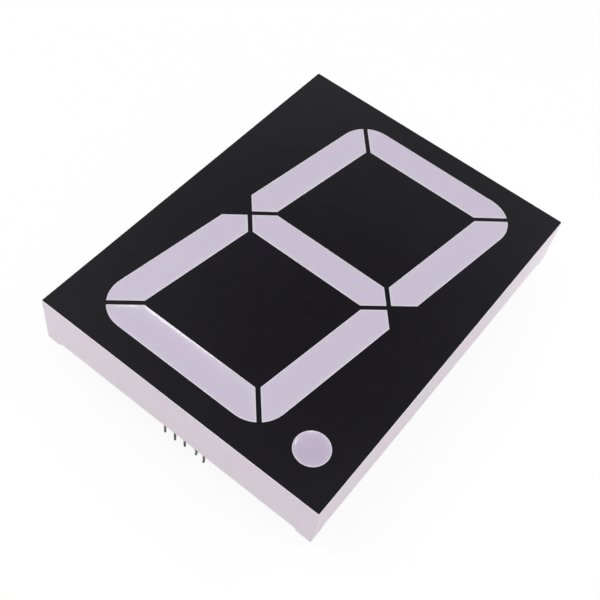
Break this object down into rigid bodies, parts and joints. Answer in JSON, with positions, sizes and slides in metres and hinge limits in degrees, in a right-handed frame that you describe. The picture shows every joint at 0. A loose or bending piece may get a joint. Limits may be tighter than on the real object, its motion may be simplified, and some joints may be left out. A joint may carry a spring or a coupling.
{
  "type": "seven-segment LED display",
  "caption": "Large single-digit seven-segment LED display with a slanted digit, a decimal point, a black face and contact pins in rows at top and bottom.",
  "frame": {"origin": "middle of the seating plane under the four feet, centred between the two rows of pins", "axes": "+X across the digit to the right, +Y up the digit, +Z out of the lit face"},
  "size_m": [0.066, 0.087, 0.0235],
  "materials": {
    "housing_white": "moulded white plastic with a fine satin surface",
    "mask_black": "satin black printed film",
    "diffuser_resin": "milky cast resin, smooth",
    "board_laminate": "glass-fibre laminate with green solder mask",
    "lamp_body": "small moulded lamps",
    "tinned_pin": "dull tin plating",
    "solder": "bright solder"
  },
  "bodies": {
    "root": {"housing": "housing_white", "front_mask": "mask_black", "circuit_board": "board_laminate", "diffuser_a": "diffuser_resin", "diffuser_b": "diffuser_resin", "diffuser_c": "diffuser_resin", "diffuser_d": "diffuser_resin", "diffuser_e": "diffuser_resin", "diffuser_f": "diffuser_resin", "diffuser_g": "diffuser_resin", "diffuser_point": "diffuser_resin", "leds_a": "lamp_body", "leds_b": "lamp_body", "leds_c": "lamp_body", "leds_d": "lamp_body", "leds_e": "lamp_body", "leds_f": "lamp_body", "leds_g": "lamp_body", "leds_point": "lamp_body", "pin_1": "tinned_pin", "pin_2": "tinned_pin", "pin_3": "tinned_pin", "pin_4": "tinned_pin", "pin_5": "tinned_pin", "pin_6": "tinned_pin", "pin_7": "tinned_pin", "pin_8": "tinned_pin", "pin_9": "tinned_pin", "pin_10": "tinned_pin", "solder_joints": "solder"}
  },
  "joints": []
}
